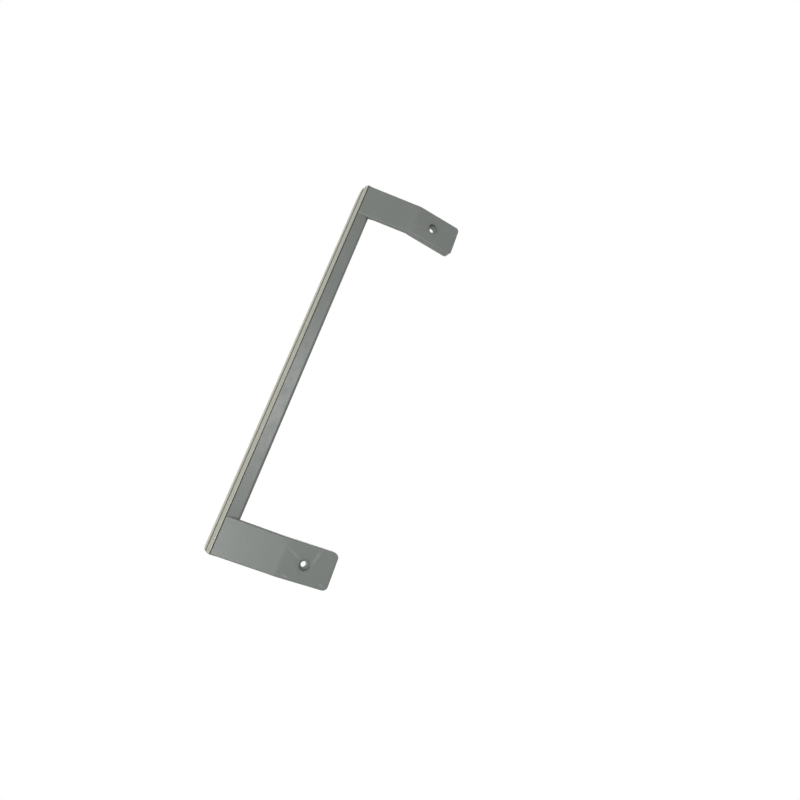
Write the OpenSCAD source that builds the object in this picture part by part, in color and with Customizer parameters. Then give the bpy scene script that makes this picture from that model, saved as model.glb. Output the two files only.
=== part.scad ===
// Refrigerator door handle that screws to the side edge of a door.
// Origin: midway between the two screw holes, on the face that lies against the door edge.
// +X points away from the door edge, +Y towards the free ends of the pads, +Z up along the grip.

/* [Grip] */
// Length of the grip, which is also the whole height of the handle
grip_length = 333; // [310:1:360]
// Width of the grip along the top of the arms, front to back
grip_top_w = 11.4; // [10.5:0.1:13]
// Depth of the grip across the front of the door
grip_depth = 31.2; // [29.5:0.1:34]
// Bulge of the back of the grip, which fits the fingers
back_bulge = 0.8; // [0:0.1:1.5]
// How far the inner edge of the front lies forward of the outer edge
front_lean = 2.4; // [1:0.1:3.5]
// How far the crest of the front lies forward of the outer edge
crest_rise = 3.1; // [2.6:0.1:3.4]
// Depth at which the crest runs
crest_depth = 14; // [12:0.5:18]
// Radius of the grip's two inner corners, seen from the front
end_r = 8; // [4:0.5:10]
// How much shorter the grip is at its inner side, at each end
end_taper = 0.8; // [0:0.1:1.5]
// Radius of the outer back edge of the grip
back_edge_r = 2.5; // [1:0.1:3]
// Radius of the inner back edge, on the cover
cover_edge_r = 3; // [2.5:0.1:4]
// Wall thickness of the body
body_wall = 2.4; // [2:0.1:3]
// Wall thickness of the cover
cover_wall = 2.2; // [1.8:0.1:2.6]
// Depth at which the body's back wall ends and the cover begins
joint_depth = 8; // [7.5:0.1:9]

/* [Trim strip] */
// Thickness of the trim strip
trim_t = 2; // [1.6:0.1:2.4]
// Thickness of the strip's thin edge, which shows on the outer side of the grip
trim_edge_t = 0.6; // [0.5:0.1:0.8]
// Depth at which the strip reaches its full thickness
trim_start = 2.4; // [2:0.1:4]
// Start of the valley that runs along the strip
valley_start = 5.9; // [4:0.1:8]
// Width of the valley
valley_w = 2.2; // [1.5:0.1:3]
// Depth of the valley
valley_depth = 0.8; // [0.5:0.1:1.2]
// Open joint beside the strip
joint_gap = 0.4; // [0.2:0.1:0.6]

/* [Arms] */
// Width of a pad and of the arm beside it, along the grip
arm_w = 29; // [27:0.1:31]
// How much wider the arm is at the grip, on its outer edge
arm_flare = 0.6; // [0.2:0.1:1.5]
// Length of an arm along its outer face, from the front edge of the grip to the crease
arm_len = 50.6; // [46:0.1:60]
// Angle between the outer face of an arm and the mounting face of its pad
arm_angle = 17; // [15:0.5:20]
// Thickness of an arm at the grip
arm_root_t = 2.9; // [2.6:0.1:4.2]
// Thickness of an arm just before the pad
arm_end_t = 3.7; // [3.4:0.1:4.8]
// Width of a stiffening rib
rib_w = 3.6; // [2.5:0.1:4]
// Distance from rib to rib
rib_pitch = 8.5; // [7:0.1:9]
// Number of ribs on an arm
rib_count = 3; // [1:2:3]
// Depth from the outer face to the top of a rib at the grip
rib_root_depth = 10.6; // [9:0.1:11]

/* [Pads] */
// Thickness of a pad at its free end
pad_t = 6.2; // [5.8:0.1:7.5]
// Thickness of a pad at the crease
pad_root_t = 5.2; // [5:0.1:5.6]
// Length of a pad from the crease to its free end
pad_len = 41.4; // [38:0.1:46]
// Radius of the pad's two free corners
pad_corner_r = 5; // [3:0.5:7]
// Radius along the outer edges of arms and pads
edge_r = 1.3; // [0.6:0.1:1.5]
// Distance from the crease to the screw hole
hole_to_crease = 17.8; // [14:0.1:22]
// Distance between the two screw holes
hole_spacing = 304; // [280:1:312]
// Screw hole diameter
hole_d = 4.4; // [4:0.1:5.5]
// Diameter of the seat for the screw head
seat_d = 8.8; // [8:0.1:10]
// Depth of the seat
seat_depth = 3; // [2:0.1:3.5]

/* [Hidden] */

$fn = 64;
corner_steps = 6;
front_steps = 12;
half = grip_length / 2;
// How far cutting shapes reach past what they cut
past = 1;
over = 20;
// Outer front edge of the grip, where the arms' outer faces end
grip_x = pad_root_t - arm_len * sin(arm_angle);
grip_y = -hole_to_crease - arm_len * cos(arm_angle);
front_edge_r = 0.4;
// Where the body's outer side starts, behind the strip's edge and the open joint
rim_u = trim_edge_t + joint_gap;
// Thickness of the wall that backs the trim strip
front_wall = 2;
back_line = trim_t + front_wall;
// The strip covers the front down to this depth, and the backing wall stops above it
strip_end = grip_depth - 0.1;
strip_edge_r = 0.5;
strip_lip = 1;
front_wall_end = grip_depth - 2.6;
// Back of the grip at the joint, half way down the cover and at its inner edge
joint_u = grip_top_w + 0.7;
inner_u = grip_top_w - 1.8;
mid_depth = (joint_depth + grip_depth) / 2;
mid_u = (joint_u + inner_u) / 2 + back_bulge;
back_crown_r = 30;
inner_v = grip_depth - 0.8;
hollow_r = 0.9;
cover_lip = 0.6;
// The grip's ends stand just proud of the arms' outer edges
end_proud = 0.05;
half_w = arm_w / 2;
arm_centre = half - end_proud - arm_flare - half_w;
// The flared side starts inside the arm's plain side, just past the crease
flare_sink = 0.1;
flare_start = 3;
flare_angle = atan((arm_flare + flare_sink) / arm_len);
pad_lean = atan((pad_t - pad_root_t) / pad_len);
pad_end = pad_len - hole_to_crease;
pad_at_hole = pad_root_t + hole_to_crease * tan(pad_lean);
// Arm and pad meet in the plane half way between them, which leaves the mounting face here
miter_lean = (arm_angle + pad_lean) / 2;
miter_y = pad_root_t * tan(miter_lean) - hole_to_crease;
half_bend = (arm_angle - pad_lean) / 2;
// Distance from the front edge to where an arm leaves the back of the grip
arm_root = 9;
// Length over which an arm thickens into its pad
ramp = 4;
// Depth of the section that is swept along arms and pads
sweep_t = 30;
// Where an arm's outer face starts, just behind the body's outer side
arm_u = rim_u + 0.1;
// How deep a rib starts inside its arm, and where it fades out on the pad
rib_sink = 2;
rib_fade = 0.6;
rib_tip = 1;
web_t = 1.6;
web_pitch = 60;
web_count = 4;
hook_len = 9;
hook_t = 1.5;
hook_reach = 3.5;
hook_lean = 0.4;
hook_root = 2;
hook_pitch = 60;
hook_count = 5;
hook_clear = 0.15;

dark_grey = [0.45, 0.47, 0.45];
mid_grey = [0.5, 0.52, 0.5];
champagne = [0.72, 0.71, 0.64];

// Front face of the grip, as its place against the outer edge at each depth
front_curve = [for (i = [0:front_steps])
    let (
        v = i / front_steps * grip_depth,
        out = 1 - v / crest_depth,
        inside = (v - crest_depth) / (grip_depth - crest_depth)
    )
    [v, v < crest_depth
        ? crest_rise * (out * out - 1)
        : (crest_rise - front_lean) * inside * inside - crest_rise]];
function front_u(v) = lookup(v, front_curve);

function reversed(list) = [for (i = [len(list) - 1:-1:0]) list[i]];

// Points along the front, set back by a distance, from one depth to another
function front_line(back, v0, v1) =
    let (
        between = [for (p = front_curve) if (p[0] > min(v0, v1) && p[0] < max(v0, v1)) p[0]],
        depths = concat([v0], v0 < v1 ? between : reversed(between), [v1])
    )
    [for (v = depths) [front_u(v) + back, v]];

// Arc that rounds the corner b between a and c
function corner(a, b, c, r) =
    let (
        p = (a - b) / norm(a - b),
        q = (c - b) / norm(c - b),
        half_angle = acos(p * q) / 2,
        centre = b + (p + q) / norm(p + q) * r / sin(half_angle),
        s = b + p * r / tan(half_angle) - centre,
        e = b + q * r / tan(half_angle) - centre,
        a0 = atan2(s[1], s[0]),
        turn = atan2(s[0] * e[1] - s[1] * e[0], s * e)
    )
    [for (i = [0:corner_steps]) let (t = a0 + turn * i / corner_steps)
        centre + r * [cos(t), sin(t)]];

// Outline through [x, y, radius] points, with an arc at each point that has a radius
function rounded(pts) = [
    for (i = [0:len(pts) - 1])
        let (
            n = len(pts),
            a = pts[(i + n - 1) % n],
            b = pts[i],
            c = pts[(i + 1) % n]
        )
        each b[2] > 0
            ? corner([a[0], a[1]], [b[0], b[1]], [c[0], c[1]], b[2])
            : [[b[0], b[1]]]
];

function plain(pts) = [for (p = pts) [p[0], p[1], 0]];

// A grip section is drawn with u back from the front edge and v down into its depth
function in_plan(pts) = [for (p = pts) [grip_x - p[1], grip_y + p[0]]];

// Extrudes a grip section over a height
module grip_bar(pts, height) {
    translate([0, 0, -height / 2])
        linear_extrude(height)
            polygon(in_plan(pts));
}

// Outline of the grip seen from the front, rounded at the two inner corners
module end_outline(inset) {
    inner_x = grip_x - grip_depth + inset;
    tall = half - inset;
    inner_tall = tall - end_taper;
    translate([0, grip_y + over])
        rotate([90, 0, 0])
            linear_extrude(2 * over)
                polygon(rounded([
                    [grip_x + over, -tall, 0],
                    [grip_x, -tall, 0],
                    [inner_x, -inner_tall, end_r - inset],
                    [inner_x, inner_tall, end_r - inset],
                    [grip_x, tall, 0],
                    [grip_x + over, tall, 0]
                ]));
}

// Frame of an arm: x out of its outer face, y along it towards the pad, origin at the crease
module arm_frame() {
    translate([pad_root_t, -hole_to_crease, 0])
        rotate(-arm_angle)
            children();
}

// The same for a pad, whose outer face leans a little from its mounting face
module pad_frame() {
    translate([pad_root_t, -hole_to_crease, 0])
        rotate(-pad_lean)
            children();
}

// A point of an arm's frame, seen in the part's own frame
function from_arm(x, y) = [
    pad_root_t + x * cos(arm_angle) + y * sin(arm_angle),
    -hole_to_crease - x * sin(arm_angle) + y * cos(arm_angle),
    0
];

// Section across an arm or pad with rounded outer edges, swept along it between two places
module sweep(z0, z1, y0, y1) {
    translate([0, y1, 0])
        rotate([90, 0, 0])
            linear_extrude(y1 - y0)
                polygon(rounded([
                    [0, z0, edge_r],
                    [0, z1, edge_r],
                    [-sweep_t, z1, 0],
                    [-sweep_t, z0, 0]
                ]));
}

// Side view of an arm with its pad
module side_view(height) {
    translate([0, 0, -height / 2])
        linear_extrude(height)
            polygon(rounded([
                [pad_root_t, -hole_to_crease, 0],
                [grip_x + arm_u * tan(arm_angle), grip_y + arm_u, front_edge_r],
                [grip_x - body_wall, grip_y + arm_u, 0],
                from_arm(-arm_root_t, arm_root - arm_len),
                from_arm(-arm_end_t, -pad_root_t * tan(half_bend) - ramp),
                [0, miter_y, 0],
                [0, pad_end, 0],
                [pad_t, pad_end, edge_r]
            ]));
}

// Arm and pad of the upper end, the arm's outer edge flared towards the grip
module arm() {
    reach = arm_len + pad_len;
    intersection() {
        side_view(2 * arm_w);
        union() {
            intersection() {
                arm_frame()
                    sweep(-half_w, half_w, -reach, reach);
                pad_frame()
                    sweep(-half_w, half_w, -reach, reach);
                pad_outline();
            }
            arm_frame()
                translate([0, 0, half_w - flare_sink])
                    rotate([-flare_angle, 0, 0])
                        sweep(-half_w, 0, -reach, -flare_start);
        }
    }
}

// Outline of arm and pad seen from outside, rounded at the two free corners
module pad_outline() {
    w = half_w + past;
    r = pad_corner_r;
    rotate([90, 0, 90])
        translate([0, 0, -over])
            linear_extrude(2 * over)
                difference() {
                    translate([grip_y - past, -w])
                        square([pad_end - grip_y + past, 2 * w]);
                    for (side = [0, 1])
                        mirror([0, side])
                            translate([pad_end - r, half_w - r])
                                difference() {
                                    square(r + 2 * past);
                                    circle(r);
                                }
                }
}

// Ribs that run from the grip and fade out in the plane of the pad
module ribs() {
    top = from_arm(-rib_root_depth, arm_root - arm_len);
    root = from_arm(rib_sink - arm_root_t, arm_root - arm_len);
    fade = [0, miter_y + rib_fade];
    run = [fade[0] - top[0], fade[1] - top[1]];
    tip = fade + run * rib_tip / run[0];
    for (i = [0:rib_count - 1])
        translate([0, 0, (i - (rib_count - 1) / 2) * rib_pitch - rib_w / 2])
            linear_extrude(rib_w)
                polygon([
                    [top[0], top[1]],
                    tip,
                    [pad_root_t - rib_sink, -hole_to_crease],
                    [root[0], root[1]]
                ]);
}

// Screw hole with a round seat for the head
module screw_hole() {
    rotate([0, 90, 0]) {
        translate([0, 0, -past])
            cylinder(h = pad_t + 2 * past, d = hole_d);
        translate([0, 0, pad_at_hole - seat_depth])
            cylinder(h = seat_depth + past, d = seat_d);
    }
}

function body_section() = concat(
    corner([0, 0], [grip_top_w, 0], [joint_u, joint_depth], back_edge_r),
    [[joint_u, joint_depth]],
    front_line(back_line, joint_depth, front_wall_end),
    front_line(trim_t, front_wall_end, trim_start),
    front_line(rim_u, trim_start, 0)
);

function body_hollow() = rounded([
    [front_u(body_wall) + back_line, body_wall, hollow_r],
    [grip_top_w - body_wall, body_wall, hollow_r],
    [joint_u - body_wall, joint_depth + past, 0],
    [front_u(joint_depth) + back_line, joint_depth + past, 0]
]);

module handle_body() {
    color(dark_grey) difference() {
        union() {
            difference() {
                intersection() {
                    grip_bar(body_section(), grip_length);
                    end_outline(0);
                }
                grip_bar(body_hollow(), grip_length - 2 * body_wall);
            }
            body_webs();
            for (side = [0, 1])
                mirror([0, 0, side])
                    translate([0, 0, arm_centre]) {
                        arm();
                        ribs();
                    }
        }
        for (side = [-1, 1])
            translate([0, 0, side * hole_spacing / 2])
                screw_hole();
    }
}

// Webs across the body's channel, under the cover
module body_webs() {
    for (i = [0:web_count - 1])
        translate([0, 0, (i - (web_count - 1) / 2) * web_pitch])
            grip_bar([
                [front_u(body_wall) + back_line - past, past],
                [grip_top_w - past, past],
                [joint_u - past, joint_depth - past],
                [front_u(joint_depth) + back_line - past, joint_depth - past]
            ], web_t);
}

function cover_section() = rounded(concat(
    plain([[front_u(joint_depth) + back_line, joint_depth], [joint_u, joint_depth]]),
    [[mid_u, mid_depth, back_crown_r], [inner_u, inner_v, cover_edge_r]],
    plain(concat(
        [[front_u(strip_end) + trim_t + joint_gap, strip_end]],
        front_line(trim_t, strip_end - strip_lip, front_wall_end),
        [[front_u(front_wall_end) + back_line, front_wall_end]]
    ))
));

function cover_hollow() = rounded([
    [front_u(joint_depth) + trim_t, joint_depth - past, 0],
    [joint_u - cover_wall, joint_depth - past, 0],
    [mid_u - cover_wall, mid_depth, back_crown_r],
    [inner_u - cover_wall, inner_v - cover_wall, hollow_r],
    [front_u(front_wall_end) + trim_t, front_wall_end - cover_lip, 0]
]);

module grip_cover() {
    color(mid_grey) union() {
        difference() {
            intersection() {
                grip_bar(cover_section(), grip_length);
                end_outline(0);
            }
            intersection() {
                grip_bar(cover_hollow(), grip_length);
                end_outline(cover_wall);
            }
        }
        cover_hooks();
    }
}

// Snap hooks that reach behind the body's back wall
module cover_hooks() {
    u = joint_u - body_wall - hook_clear;
    back = joint_u - cover_wall + hook_lean;
    for (i = [0:hook_count - 1])
        translate([0, 0, (i - (hook_count - 1) / 2) * hook_pitch])
            grip_bar([
                [u - hook_lean, joint_depth - hook_reach],
                [u, joint_depth],
                [back, joint_depth],
                [back, joint_depth + hook_root],
                [u - hook_t, joint_depth + hook_root],
                [u - hook_t - hook_lean, joint_depth - hook_reach]
            ], hook_len);
}

// The strip wraps the front edge, has a valley along it and is rounded at its inner edge
function trim_section() = concat(
    corner([trim_edge_t, 0], [0, 0], [front_u(trim_start), trim_start], front_edge_r),
    front_line(0, trim_start, valley_start),
    [[front_u(valley_start + valley_w / 2) + valley_depth, valley_start + valley_w / 2]],
    front_line(0, valley_start + valley_w, strip_end - strip_lip),
    corner([front_u(strip_end - strip_lip), strip_end - strip_lip], [front_u(strip_end), strip_end],
        [trim_t, strip_end], strip_edge_r),
    [[front_u(strip_end) + trim_t, strip_end]],
    front_line(trim_t, strip_end - strip_lip, trim_start + joint_gap),
    front_line(trim_edge_t, trim_start + joint_gap, 0)
);

module trim_strip() {
    color(champagne) intersection() {
        grip_bar(trim_section(), grip_length);
        end_outline(0);
    }
}

handle_body();
grip_cover();
trim_strip();
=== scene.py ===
import math
import bmesh
import bpy
from mathutils import Matrix, Vector


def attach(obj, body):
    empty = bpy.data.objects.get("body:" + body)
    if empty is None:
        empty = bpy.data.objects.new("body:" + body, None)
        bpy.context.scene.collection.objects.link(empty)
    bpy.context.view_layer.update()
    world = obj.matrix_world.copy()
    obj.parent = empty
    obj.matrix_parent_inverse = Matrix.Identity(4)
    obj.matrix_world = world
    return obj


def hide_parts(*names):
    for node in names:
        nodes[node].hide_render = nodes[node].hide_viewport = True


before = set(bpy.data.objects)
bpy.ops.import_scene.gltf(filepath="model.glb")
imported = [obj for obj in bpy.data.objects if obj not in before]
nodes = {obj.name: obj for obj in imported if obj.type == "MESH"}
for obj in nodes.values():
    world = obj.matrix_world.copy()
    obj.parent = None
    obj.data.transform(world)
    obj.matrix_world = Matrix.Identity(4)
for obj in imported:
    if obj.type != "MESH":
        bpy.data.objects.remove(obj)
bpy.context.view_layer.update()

# Every length is in metres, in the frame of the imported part.


def newMesh(name, bm):
    data = bpy.data.meshes.new(name)
    bm.to_mesh(data)
    bm.free()
    piece = bpy.data.objects.new(name, data)
    bpy.context.scene.collection.objects.link(piece)
    return piece


def cleanCopy(nodeName):
    # The node's surfaces without its split normals and without the edges inside flat faces.
    source = nodes[nodeName].data
    data = bpy.data.meshes.new(nodeName + "Copy")
    points = [v.co[:] for v in source.vertices]
    data.from_pydata(points, [], [p.vertices[:] for p in source.polygons])
    bm = bmesh.new()
    bm.from_mesh(data)
    bpy.data.meshes.remove(data)
    bmesh.ops.remove_doubles(bm, verts=bm.verts, dist=4e-6)
    bmesh.ops.dissolve_limit(
        bm, angle_limit=math.radians(0.1), use_dissolve_boundaries=False,
        verts=bm.verts, edges=bm.edges, delimit={"NORMAL"})
    return bm


def sharpEdges(bm, leastAngle, keep):
    found = []
    for edge in bm.edges:
        if len(edge.link_faces) == 2 and edge.calc_face_angle(0) > math.radians(leastAngle):
            if keep((edge.verts[0].co + edge.verts[1].co) / 2):
                found.append(edge)
    return found


def faceWidth(face):
    return face.calc_area() / max(edge.calc_length() for edge in face.edges)


def wideEdges(bm, leastAngle, leastWidth, keep):
    # Sharp edges between faces that are both wide enough for a bevel.
    found = []
    for edge in sharpEdges(bm, leastAngle, keep):
        if all(faceWidth(face) > leastWidth for face in edge.link_faces):
            found.append(edge)
    return found


def roundEdges(bm, edges, width, segments):
    bmesh.ops.bevel(
        bm, geom=edges, offset=width, offset_type="OFFSET", segments=segments, profile=0.5,
        affect="EDGES", clamp_overlap=False, material=-1)


def finishPiece(piece, nodeName, material, smoothAngle):
    piece.data.materials.append(material)
    piece.data.polygons.foreach_set("use_smooth", [True] * len(piece.data.polygons))
    piece.data.set_sharp_from_angle(angle=math.radians(smoothAngle))
    even = piece.modifiers.new("evenNormals", "WEIGHTED_NORMAL")
    even.keep_sharp = True
    even.weight = 80
    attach(piece, "root")
    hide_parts(nodeName)


# Materials

def newMaterial(name):
    material = bpy.data.materials.new(name)
    material.use_nodes = True
    material.node_tree.nodes.clear()
    return material, material.node_tree


def addNode(tree, kind, **settings):
    node = tree.nodes.new(kind)
    for key, value in settings.items():
        if key.startswith("in_"):
            node.inputs[int(key[3:])].default_value = value
        else:
            setattr(node, key, value)
    return node


def link(tree, source, target):
    tree.links.new(source, target)


def newGroup(name, inputs, outputs):
    group = bpy.data.node_groups.new(name, "ShaderNodeTree")
    for label, kind in inputs:
        group.interface.new_socket(label, in_out="INPUT", socket_type=kind)
    for label, kind in outputs:
        group.interface.new_socket(label, in_out="OUTPUT", socket_type=kind)
    return group, addNode(group, "NodeGroupInput"), addNode(group, "NodeGroupOutput")


def maths(tree, operation, first, second=None, third=None):
    # A math node whose inputs are sockets or numbers.
    node = addNode(tree, "ShaderNodeMath", operation=operation)
    for index, value in enumerate((first, second, third)):
        if isinstance(value, (int, float)):
            node.inputs[index].default_value = value
        elif value is not None:
            link(tree, value, node.inputs[index])
    return node.outputs[0]


def fade(tree, value, low, high, outLow=0.0, outHigh=1.0):
    node = addNode(tree, "ShaderNodeMapRange", interpolation_type="SMOOTHSTEP")
    link(tree, value, node.inputs["Value"])
    node.inputs["From Min"].default_value = low
    node.inputs["From Max"].default_value = high
    node.inputs["To Min"].default_value = outLow
    node.inputs["To Max"].default_value = outHigh
    return node.outputs["Result"]


def noise(tree, place, scale, detail, stretch=(1, 1, 1)):
    mapping = addNode(tree, "ShaderNodeMapping")
    mapping.inputs["Scale"].default_value = stretch
    link(tree, place, mapping.inputs["Vector"])
    texture = addNode(tree, "ShaderNodeTexNoise")
    texture.inputs["Scale"].default_value = scale
    texture.inputs["Detail"].default_value = detail
    link(tree, mapping.outputs["Vector"], texture.inputs["Vector"])
    return texture.outputs["Fac"]


def makeGrainGroup():
    # Fine moulded grain over faint wide waves as a height in metres, a cloudy mask and rare gloss spots.
    group, start, end = newGroup(
        "mouldGrain", [("place", "NodeSocketVector")],
        [("height", "NodeSocketFloat"), ("cloud", "NodeSocketFloat"), ("spots", "NodeSocketFloat")])
    place = start.outputs["place"]
    fine = maths(group, "MULTIPLY", noise(group, place, 1500, 3), 0.00001)
    grain = maths(group, "MULTIPLY_ADD", noise(group, place, 520, 2), 0.000014, fine)
    height = maths(group, "MULTIPLY_ADD", noise(group, place, 34, 2), 0.00007, grain)
    link(group, height, end.inputs["height"])
    cloud = noise(group, place, 18, 4)
    link(group, fade(group, cloud, 0.3, 0.7), end.inputs["cloud"])
    cells = addNode(group, "ShaderNodeTexVoronoi", feature="F1")
    cells.inputs["Scale"].default_value = 70
    link(group, place, cells.inputs["Vector"])
    small = fade(group, cells.outputs["Distance"], 0.03, 0.08, 1, 0)
    rare = fade(group, noise(group, place, 26, 1), 0.6, 0.68)
    link(group, maths(group, "MULTIPLY", small, rare), end.inputs["spots"])
    return group


def makeMouldGroup():
    # Marks that moulding leaves: rings that sank around the seats and flow lines past the lower seat.
    group, start, end = newGroup(
        "mouldMarks", [("place", "NodeSocketVector")],
        [("sink", "NodeSocketFloat"), ("flow", "NodeSocketFloat"), ("height", "NodeSocketFloat")])
    split = addNode(group, "ShaderNodeSeparateXYZ")
    link(group, start.outputs["place"], split.inputs[0])
    along, up = split.outputs["Y"], split.outputs["Z"]
    fromHole = maths(group, "SUBTRACT", maths(group, "ABSOLUTE", up), marks["holeHeight"])
    radius = maths(group, "SQRT", maths(
        group, "ADD", maths(group, "MULTIPLY", along, along), maths(group, "MULTIPLY", fromHole, fromHole)))
    ring = maths(group, "MULTIPLY", fade(group, radius, 0.0042, 0.0048), fade(group, radius, 0.005, 0.0085, 1, 0))
    flow = None
    for line in marks["flowLines"]:
        dy, dz = line["to"][0] - line["from"][0], line["to"][1] - line["from"][1]
        length = math.hypot(dy, dz)
        dy, dz = dy / length, dz / length
        side = maths(group, "MULTIPLY_ADD", along, -dz, maths(
            group, "MULTIPLY_ADD", up, dy, line["from"][0] * dz - line["from"][1] * dy))
        run = maths(group, "MULTIPLY_ADD", along, dy, maths(
            group, "MULTIPLY_ADD", up, dz, -line["from"][0] * dy - line["from"][1] * dz))
        thin = fade(group, maths(group, "ABSOLUTE", side), 0, line["width"], 1, 0)
        ends = maths(group, "MULTIPLY", fade(group, run, -0.002, 0.002), fade(
            group, run, length - 0.002, length + 0.002, 1, 0))
        part = maths(group, "MULTIPLY", maths(group, "MULTIPLY", thin, ends), line["strength"])
        flow = part if flow is None else maths(group, "ADD", flow, part)
    link(group, ring, end.inputs["sink"])
    link(group, flow, end.inputs["flow"])
    link(group, maths(group, "MULTIPLY_ADD", ring, -0.00006, maths(group, "MULTIPLY", flow, 0.00003)),
         end.inputs["height"])
    return group


# Flow lines on the pads: each is a slight ridge in the bump height and a painted highlight in the tone.
marks = {"holeHeight": 0.152, "flowLines": [
    {"from": (-0.0168, -0.1432), "to": (-0.0048, -0.1489), "width": 0.0011, "strength": 0.7},
    {"from": (0.0085, -0.14), "to": (0.00475, -0.1518), "width": 0.0016, "strength": 1.0},
    {"from": (-0.0168, 0.1452), "to": (-0.0058, 0.1498), "width": 0.0014, "strength": 0.3},
    {"from": (-0.0135, -0.1631), "to": (-0.0085, -0.1637), "width": 0.0014, "strength": 1.0},
    {"from": (0.0165, -0.1618), "to": (0.0195, -0.1628), "width": 0.0014, "strength": 0.8}]}
grainGroup = makeGrainGroup()
marksGroup = makeMouldGroup()


def mixTone(tree, mask, low, high):
    node = addNode(tree, "ShaderNodeMix", data_type="RGBA")
    for key, value in (("A", low), ("B", high)):
        if isinstance(value, tuple):
            node.inputs[key].default_value = value + (1,)
        else:
            link(tree, value, node.inputs[key])
    link(tree, mask, node.inputs["Factor"])
    return node.outputs["Result"]


def finishShader(tree, tone, rough, height, bumpStrength, metallic, coat, specular):
    bump = addNode(tree, "ShaderNodeBump")
    bump.inputs["Strength"].default_value = bumpStrength
    bump.inputs["Distance"].default_value = 1
    link(tree, height, bump.inputs["Height"])
    shader = addNode(tree, "ShaderNodeBsdfPrincipled")
    shader.inputs["IOR"].default_value = 1.5
    shader.inputs["Metallic"].default_value = metallic
    shader.inputs["Specular IOR Level"].default_value = specular
    shader.inputs["Coat Weight"].default_value = coat
    shader.inputs["Coat Roughness"].default_value = 0.22
    link(tree, tone, shader.inputs["Base Color"])
    link(tree, rough, shader.inputs["Roughness"])
    link(tree, bump.outputs["Normal"], shader.inputs["Normal"])
    link(tree, shader.outputs[0], addNode(tree, "ShaderNodeOutputMaterial").inputs["Surface"])


def makeGrey(name, look):
    # Semi-gloss grey moulding: cloudy tone, worn gloss, grain, and the marks of the mould, with the flow lines painted
    # lighter as a highlight, the sunk rings painted darker as shade and a painted shadow line on the rim beside the
    # strip.
    material, tree = newMaterial(name)
    place = addNode(tree, "ShaderNodeTexCoord").outputs["Object"]
    grain = addNode(tree, "ShaderNodeGroup", node_tree=grainGroup)
    mould = addNode(tree, "ShaderNodeGroup", node_tree=marksGroup)
    for node in (grain, mould):
        link(tree, place, node.inputs["place"])
    tone = mixTone(tree, grain.outputs["cloud"], look["toneLow"], look["toneHigh"])
    # Painted highlight: the flow lines are painted lighter; they also rise slightly in the bump height.
    tone = mixTone(tree, maths(tree, "MULTIPLY", mould.outputs["flow"], look["flowHighlightMix"]), tone, look["flowHighlightTone"])
    # Painted shade: the sunk rings around the seats are painted slightly darker; their dip is also in the bump height.
    tone = mixTone(tree, maths(tree, "MULTIPLY", mould.outputs["sink"], look["sinkShadeMix"]), tone, look["sinkShadeTone"])
    split = addNode(tree, "ShaderNodeSeparateXYZ")
    link(tree, place, split.inputs[0])
    # Painted shadow: below rimY the body is darkened to near black, standing in for the shade in the gap beside the
    # strip.
    rimShade = fade(tree, split.outputs["Y"], look["rimY"], look["rimY"] + 0.0003, 1, 0)
    tone = mixTone(tree, maths(tree, "MULTIPLY", rimShade, look["rimShadeMix"]), tone, look["rimShadeTone"])
    worn = fade(tree, noise(tree, place, 60, 5), 0.45, 0.75, look["roughLow"], look["roughHigh"])
    rough = maths(tree, "MULTIPLY_ADD", grain.outputs["spots"], -0.16, worn)
    height = maths(tree, "ADD", grain.outputs["height"], mould.outputs["height"])
    finishShader(tree, tone, rough, height, look["bump"], 0, look["coat"], look["specular"])
    return material


def makeSatin(name, look):
    # Satin strip with a metal effect: fine lines along it over a cloudy sheen, with painted shade in its valley and
    # along its edge at the joint.
    material, tree = newMaterial(name)
    place = addNode(tree, "ShaderNodeTexCoord").outputs["Object"]
    grain = addNode(tree, "ShaderNodeGroup", node_tree=grainGroup)
    link(tree, place, grain.inputs["place"])
    lines = noise(tree, place, 2400, 3, (1, 1, 0.012))
    drawn = fade(tree, lines, 0.35, 0.65)
    split = addNode(tree, "ShaderNodeSeparateXYZ")
    link(tree, place, split.inputs[0])
    # Painted shade: the strip darkens across its valley, where the groove lies in shade.
    valleyShadeMask = maths(tree, "MULTIPLY", fade(tree, split.outputs["X"], look["valleyEnd"], look["valleyEnd"] + 0.0006),
                     fade(tree, split.outputs["X"], look["valleyStart"] - 0.0006, look["valleyStart"], 1, 0))
    # Painted shadow: the strip's edge next to the body is darkened, standing in for the shade in the joint's gap.
    jointShadeMask = fade(tree, split.outputs["Y"], look["jointY"] - 0.00025, look["jointY"])
    jointShadeMask = maths(tree, "MULTIPLY", jointShadeMask, fade(tree, split.outputs["X"], look["jointX"] - 0.0012, look["jointX"]))
    # The painted shade of the valley and of the joint, mixed into the tone.
    stripShade = maths(tree, "MAXIMUM", maths(tree, "MULTIPLY", valleyShadeMask, look["valleyShadeMix"]),
                 maths(tree, "MULTIPLY", jointShadeMask, look["jointShadeMix"]))
    tone = mixTone(tree, drawn, look["toneLow"], look["toneHigh"])
    tone = mixTone(tree, maths(tree, "MULTIPLY", grain.outputs["cloud"], 0.35), tone, look["cloudTone"])
    tone = mixTone(tree, stripShade, tone, look["stripShadeTone"])
    rough = maths(tree, "MULTIPLY_ADD", drawn, look["roughHigh"] - look["roughLow"], look["roughLow"])
    height = maths(tree, "MULTIPLY_ADD", lines, 0.000012, grain.outputs["height"])
    finishShader(tree, tone, rough, height, look["bump"], look["metallic"], 0, look["specular"])
    return material


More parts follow.
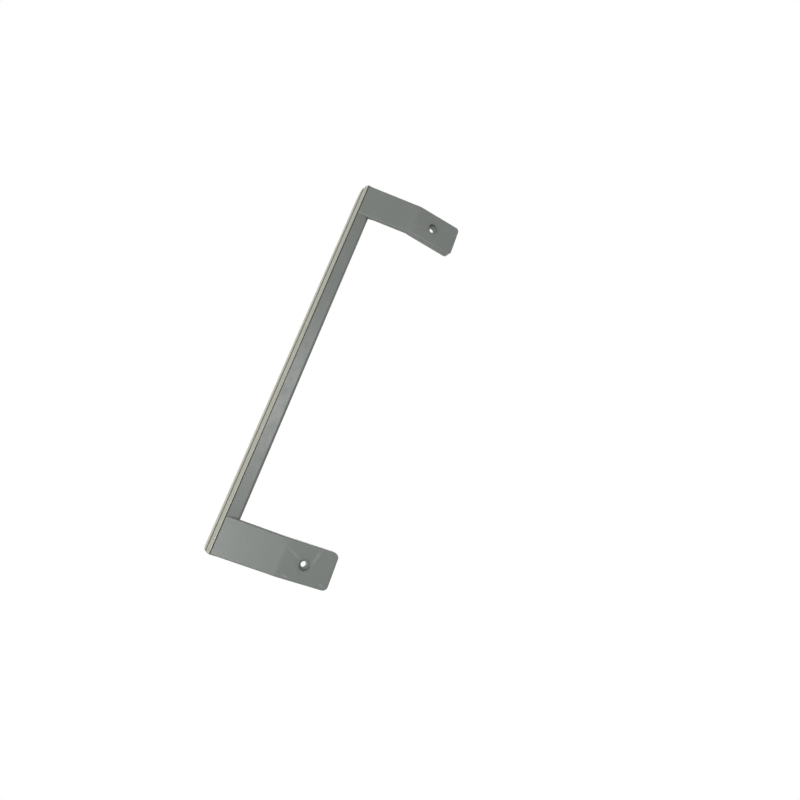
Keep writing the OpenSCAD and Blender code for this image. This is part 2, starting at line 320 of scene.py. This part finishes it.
bodyLook = {"toneLow": (0.208, 0.226, 0.208), "toneHigh": (0.226, 0.243, 0.226), "flowHighlightTone": (0.3, 0.315, 0.3),
            "flowHighlightMix": 0.9, "rimY": -0.06515, "rimShadeTone": (0.05, 0.055, 0.05), "rimShadeMix": 0.85, "sinkShadeTone": (0.19, 0.205, 0.19), "sinkShadeMix": 0.5,
            "roughLow": 0.34, "roughHigh": 0.46, "bump": 0.6, "coat": 0.12, "specular": 0.5}
coverLook = dict(bodyLook, toneLow=(0.213, 0.23, 0.214), toneHigh=(0.23, 0.246, 0.231), flowHighlightMix=0, sinkShadeMix=0, rimShadeMix=0)
trimLook = {"toneLow": (0.42, 0.418, 0.345), "toneHigh": (0.475, 0.47, 0.395), "cloudTone": (0.44, 0.425, 0.345),
            "stripShadeTone": (0.06, 0.06, 0.045), "valleyShadeMix": 0.72, "jointShadeMix": 0.9,
            "valleyStart": -0.0149, "valleyEnd": -0.0188, "jointX": -0.0097, "jointY": -0.06575,
            "roughLow": 0.28, "roughHigh": 0.42, "bump": 0.35, "metallic": 0.25, "specular": 0.25}
bodyPlastic = makeGrey("bodyPlastic", bodyLook)
coverPlastic = makeGrey("coverPlastic", coverLook)
trimSatin = makeSatin("trimSatin", trimLook)
print("materials made")

# Handle body
body = {"creaseX": 0.0052, "creaseY": -0.0178, "creaseLean": 9.19, "creaseReach": 0.00003, "creaseDepth": 0.0006,
        "creaseWidth": 0.0013, "edgeAngle": 32, "edgeWidth": 0.0002, "leastWidth": 0.0012, "smoothAngle": 34,
        "sideX": -0.009594, "sideReach": 0.0008, "rimY": -0.0648, "endZ": 0.1655}


def inCrease(point):
    # True in the plane where an arm meets its pad, except at the mounting face.
    off = point.y - body["creaseY"] - (body["creaseX"] - point.x) * math.tan(math.radians(body["creaseLean"]))
    return abs(off) < body["creaseReach"] and point.x > body["creaseDepth"]


def offRim(point):
    # False on the rim beside the strip and at the grip's ends, where narrow steps leave no room.
    onSide = abs(point.x - body["sideX"]) < body["sideReach"]
    return not (onSide and (point.y < body["rimY"] or abs(point.z) > body["endZ"]))


bm = cleanCopy("handle_body")
creases = [edge for edge in bm.edges if all(inCrease(vert.co) for vert in edge.verts)]
print("crease edges", len(creases))
roundEdges(bm, creases, body["creaseWidth"], 5)
roundEdges(bm, wideEdges(bm, body["edgeAngle"], body["leastWidth"], offRim), body["edgeWidth"], 2)
handleBody = newMesh("handleBody", bm)
finishPiece(handleBody, "handle_body", bodyPlastic, body["smoothAngle"])
print("handle body made", len(handleBody.data.polygons))

# Grip cover
cover = {"edgeAngle": 50, "edgeWidth": 0.00015, "leastWidth": 0.0012, "smoothAngle": 34}
bm = cleanCopy("grip_cover")
roundEdges(bm, wideEdges(bm, cover["edgeAngle"], cover["leastWidth"], lambda point: True), cover["edgeWidth"], 3)
gripCover = newMesh("gripCover", bm)
finishPiece(gripCover, "grip_cover", coverPlastic, cover["smoothAngle"])
print("grip cover made", len(gripCover.data.polygons))

# Trim strip
trim = {"edgeAngle": 40, "edgeWidth": 0.0002, "leastWidth": 0.0007, "smoothAngle": 24}
bm = cleanCopy("trim_strip")
roundEdges(bm, wideEdges(bm, trim["edgeAngle"], trim["leastWidth"], lambda point: True), trim["edgeWidth"], 3)
trimStrip = newMesh("trimStrip", bm)
finishPiece(trimStrip, "trim_strip", trimSatin, trim["smoothAngle"])
print("trim strip made", len(trimStrip.data.polygons))

# Floor, far below a handle that hangs on a door
floorSet = {"size": 1.6, "height": -0.9, "tone": (0.86, 0.86, 0.85)}
bm = bmesh.new()
bmesh.ops.create_grid(bm, x_segments=8, y_segments=8, size=floorSet["size"] / 2)
bmesh.ops.translate(bm, verts=bm.verts, vec=Vector((0, 0, floorSet["height"])))
floor = newMesh("floor", bm)
floorMaterial, tree = newMaterial("floorPaint")
shader = addNode(tree, "ShaderNodeBsdfPrincipled")
shader.inputs["Base Color"].default_value = floorSet["tone"] + (1,)
shader.inputs["Roughness"].default_value = 0.9
link(tree, shader.outputs[0], addNode(tree, "ShaderNodeOutputMaterial").inputs["Surface"])
floor.data.materials.append(floorMaterial)

# Camera at the photograph's viewing angle
cameraSet = {"place": Vector((0.36658, -0.09767, -0.09684)), "aim": Vector((0.04467, 0.01281, -0.01517)),
             "roll": 20.102, "lens": 21.037}
camera = bpy.data.objects.new("camera", bpy.data.cameras.new("camera"))
bpy.context.scene.collection.objects.link(camera)
camera.data.sensor_width = 36
camera.data.lens = cameraSet["lens"]
camera.data.clip_start = 0.01
turn = (cameraSet["aim"] - cameraSet["place"]).to_track_quat("-Z", "Y").to_matrix().to_4x4()
camera.matrix_world = (Matrix.Translation(cameraSet["place"]) @ turn
                       @ Matrix.Rotation(math.radians(cameraSet["roll"]), 4, "Z"))
bpy.context.scene.camera = camera

# Soft studio light on a white ground: the surroundings are brighter behind the handle than before it
worldSet = {"before": 0.04, "behind": 0.6}
world = bpy.data.worlds.new("studio")
bpy.context.scene.world = world
world.use_nodes = True
tree = world.node_tree
tree.nodes.clear()
direction = addNode(tree, "ShaderNodeSeparateXYZ")
link(tree, addNode(tree, "ShaderNodeTexCoord").outputs["Generated"], direction.inputs[0])
level = fade(tree, direction.outputs["X"], -0.7, 0.5, worldSet["behind"], worldSet["before"])
path = addNode(tree, "ShaderNodeLightPath")
soft = addNode(tree, "ShaderNodeBackground")
link(tree, level, soft.inputs[1])
white = addNode(tree, "ShaderNodeBackground", in_1=1)
for shaderNode in (soft, white):
    shaderNode.inputs[0].default_value = (1, 1, 1, 1)
pick = addNode(tree, "ShaderNodeMixShader")
seen = maths(tree, "MAXIMUM", path.outputs["Is Camera Ray"], path.outputs["Is Glossy Ray"])
link(tree, maths(tree, "MAXIMUM", seen, path.outputs["Is Transmission Ray"]), pick.inputs[0])
link(tree, soft.outputs[0], pick.inputs[1])
link(tree, white.outputs[0], pick.inputs[2])
link(tree, pick.outputs[0], addNode(tree, "ShaderNodeOutputWorld").inputs["Surface"])

lamps = [
    {"name": "sideLight", "place": (1.35, 0.1, 0.15), "aim": (0, -0.04, 0), "size": 0.45, "power": 4.3},
    {"name": "frontLight", "place": (0.9, -1.1, -0.5), "aim": (0, -0.04, 0), "size": 0.9, "power": 13.5},
    {"name": "rearLight", "place": (-1.2, 0.5, 0.6), "aim": (0, -0.04, 0), "size": 1.2, "power": 4},
]
for lamp in lamps:
    data = bpy.data.lights.new(lamp["name"], "AREA")
    data.shape = "DISK"
    data.size = lamp["size"]
    data.energy = lamp["power"]
    light = bpy.data.objects.new(lamp["name"], data)
    bpy.context.scene.collection.objects.link(light)
    away = Vector(lamp["aim"]) - Vector(lamp["place"])
    light.matrix_world = (Matrix.Translation(lamp["place"])
                          @ away.to_track_quat("-Z", "Y").to_matrix().to_4x4())
bpy.context.scene.view_settings.view_transform = "Standard"
print("camera and lights made")
